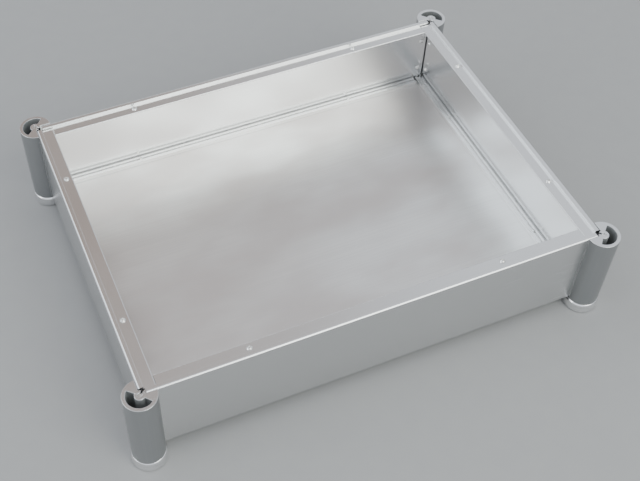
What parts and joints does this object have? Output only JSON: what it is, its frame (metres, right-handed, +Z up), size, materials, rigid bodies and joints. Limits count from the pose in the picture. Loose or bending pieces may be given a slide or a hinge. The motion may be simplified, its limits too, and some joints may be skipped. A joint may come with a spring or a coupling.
{
  "type": "open tray",
  "caption": "Shallow open aluminium tray with a flat floor, extruded walls with a recessed lid ledge, and round corner posts on turned feet.",
  "frame": {"origin": "centre of the tray, on the surface that it stands on", "axes": "+X along the long side to the right, +Y to the back, +Z up"},
  "size_m": [0.43, 0.33, 0.09],
  "materials": {
    "wall_aluminium": "satin anodised extrusion",
    "floor_aluminium": "smooth satin sheet with soft reflections",
    "post_aluminium": "fine satin anodised extrusion",
    "polished_foot": "turned and polished",
    "screw_steel": "bright zinc plated",
    "pad_rubber": "matt black"
  },
  "bodies": {
    "root": {"front_panel": "wall_aluminium", "back_panel": "wall_aluminium", "left_panel": "wall_aluminium", "right_panel": "wall_aluminium", "post_front_left": "post_aluminium", "post_front_right": "post_aluminium", "post_back_left": "post_aluminium", "post_back_right": "post_aluminium", "foot_front_left": "polished_foot", "foot_front_right": "polished_foot", "foot_back_left": "polished_foot", "foot_back_right": "polished_foot", "foot_screw_front_left": "screw_steel", "foot_screw_front_right": "screw_steel", "foot_screw_back_left": "screw_steel", "foot_screw_back_right": "screw_steel", "foot_pad_front_left": "pad_rubber", "foot_pad_front_right": "pad_rubber", "foot_pad_back_left": "pad_rubber", "foot_pad_back_right": "pad_rubber", "port_screw_front_left": "screw_steel", "port_screw_front_right": "screw_steel", "port_screw_back_left": "screw_steel", "port_screw_back_right": "screw_steel", "floor_plate": "floor_aluminium", "ledge_screws_front": "screw_steel", "ledge_screws_back": "screw_steel", "ledge_screws_left": "screw_steel", "ledge_screws_right": "screw_steel", "floor_screws_front": "screw_steel", "floor_screws_back": "screw_steel", "floor_screws_left": "screw_steel", "floor_screws_right": "screw_steel", "corner_screws_front_left": "screw_steel", "corner_screws_front_right": "screw_steel", "corner_screws_back_left": "screw_steel", "corner_screws_back_right": "screw_steel"}
  },
  "joints": []
}
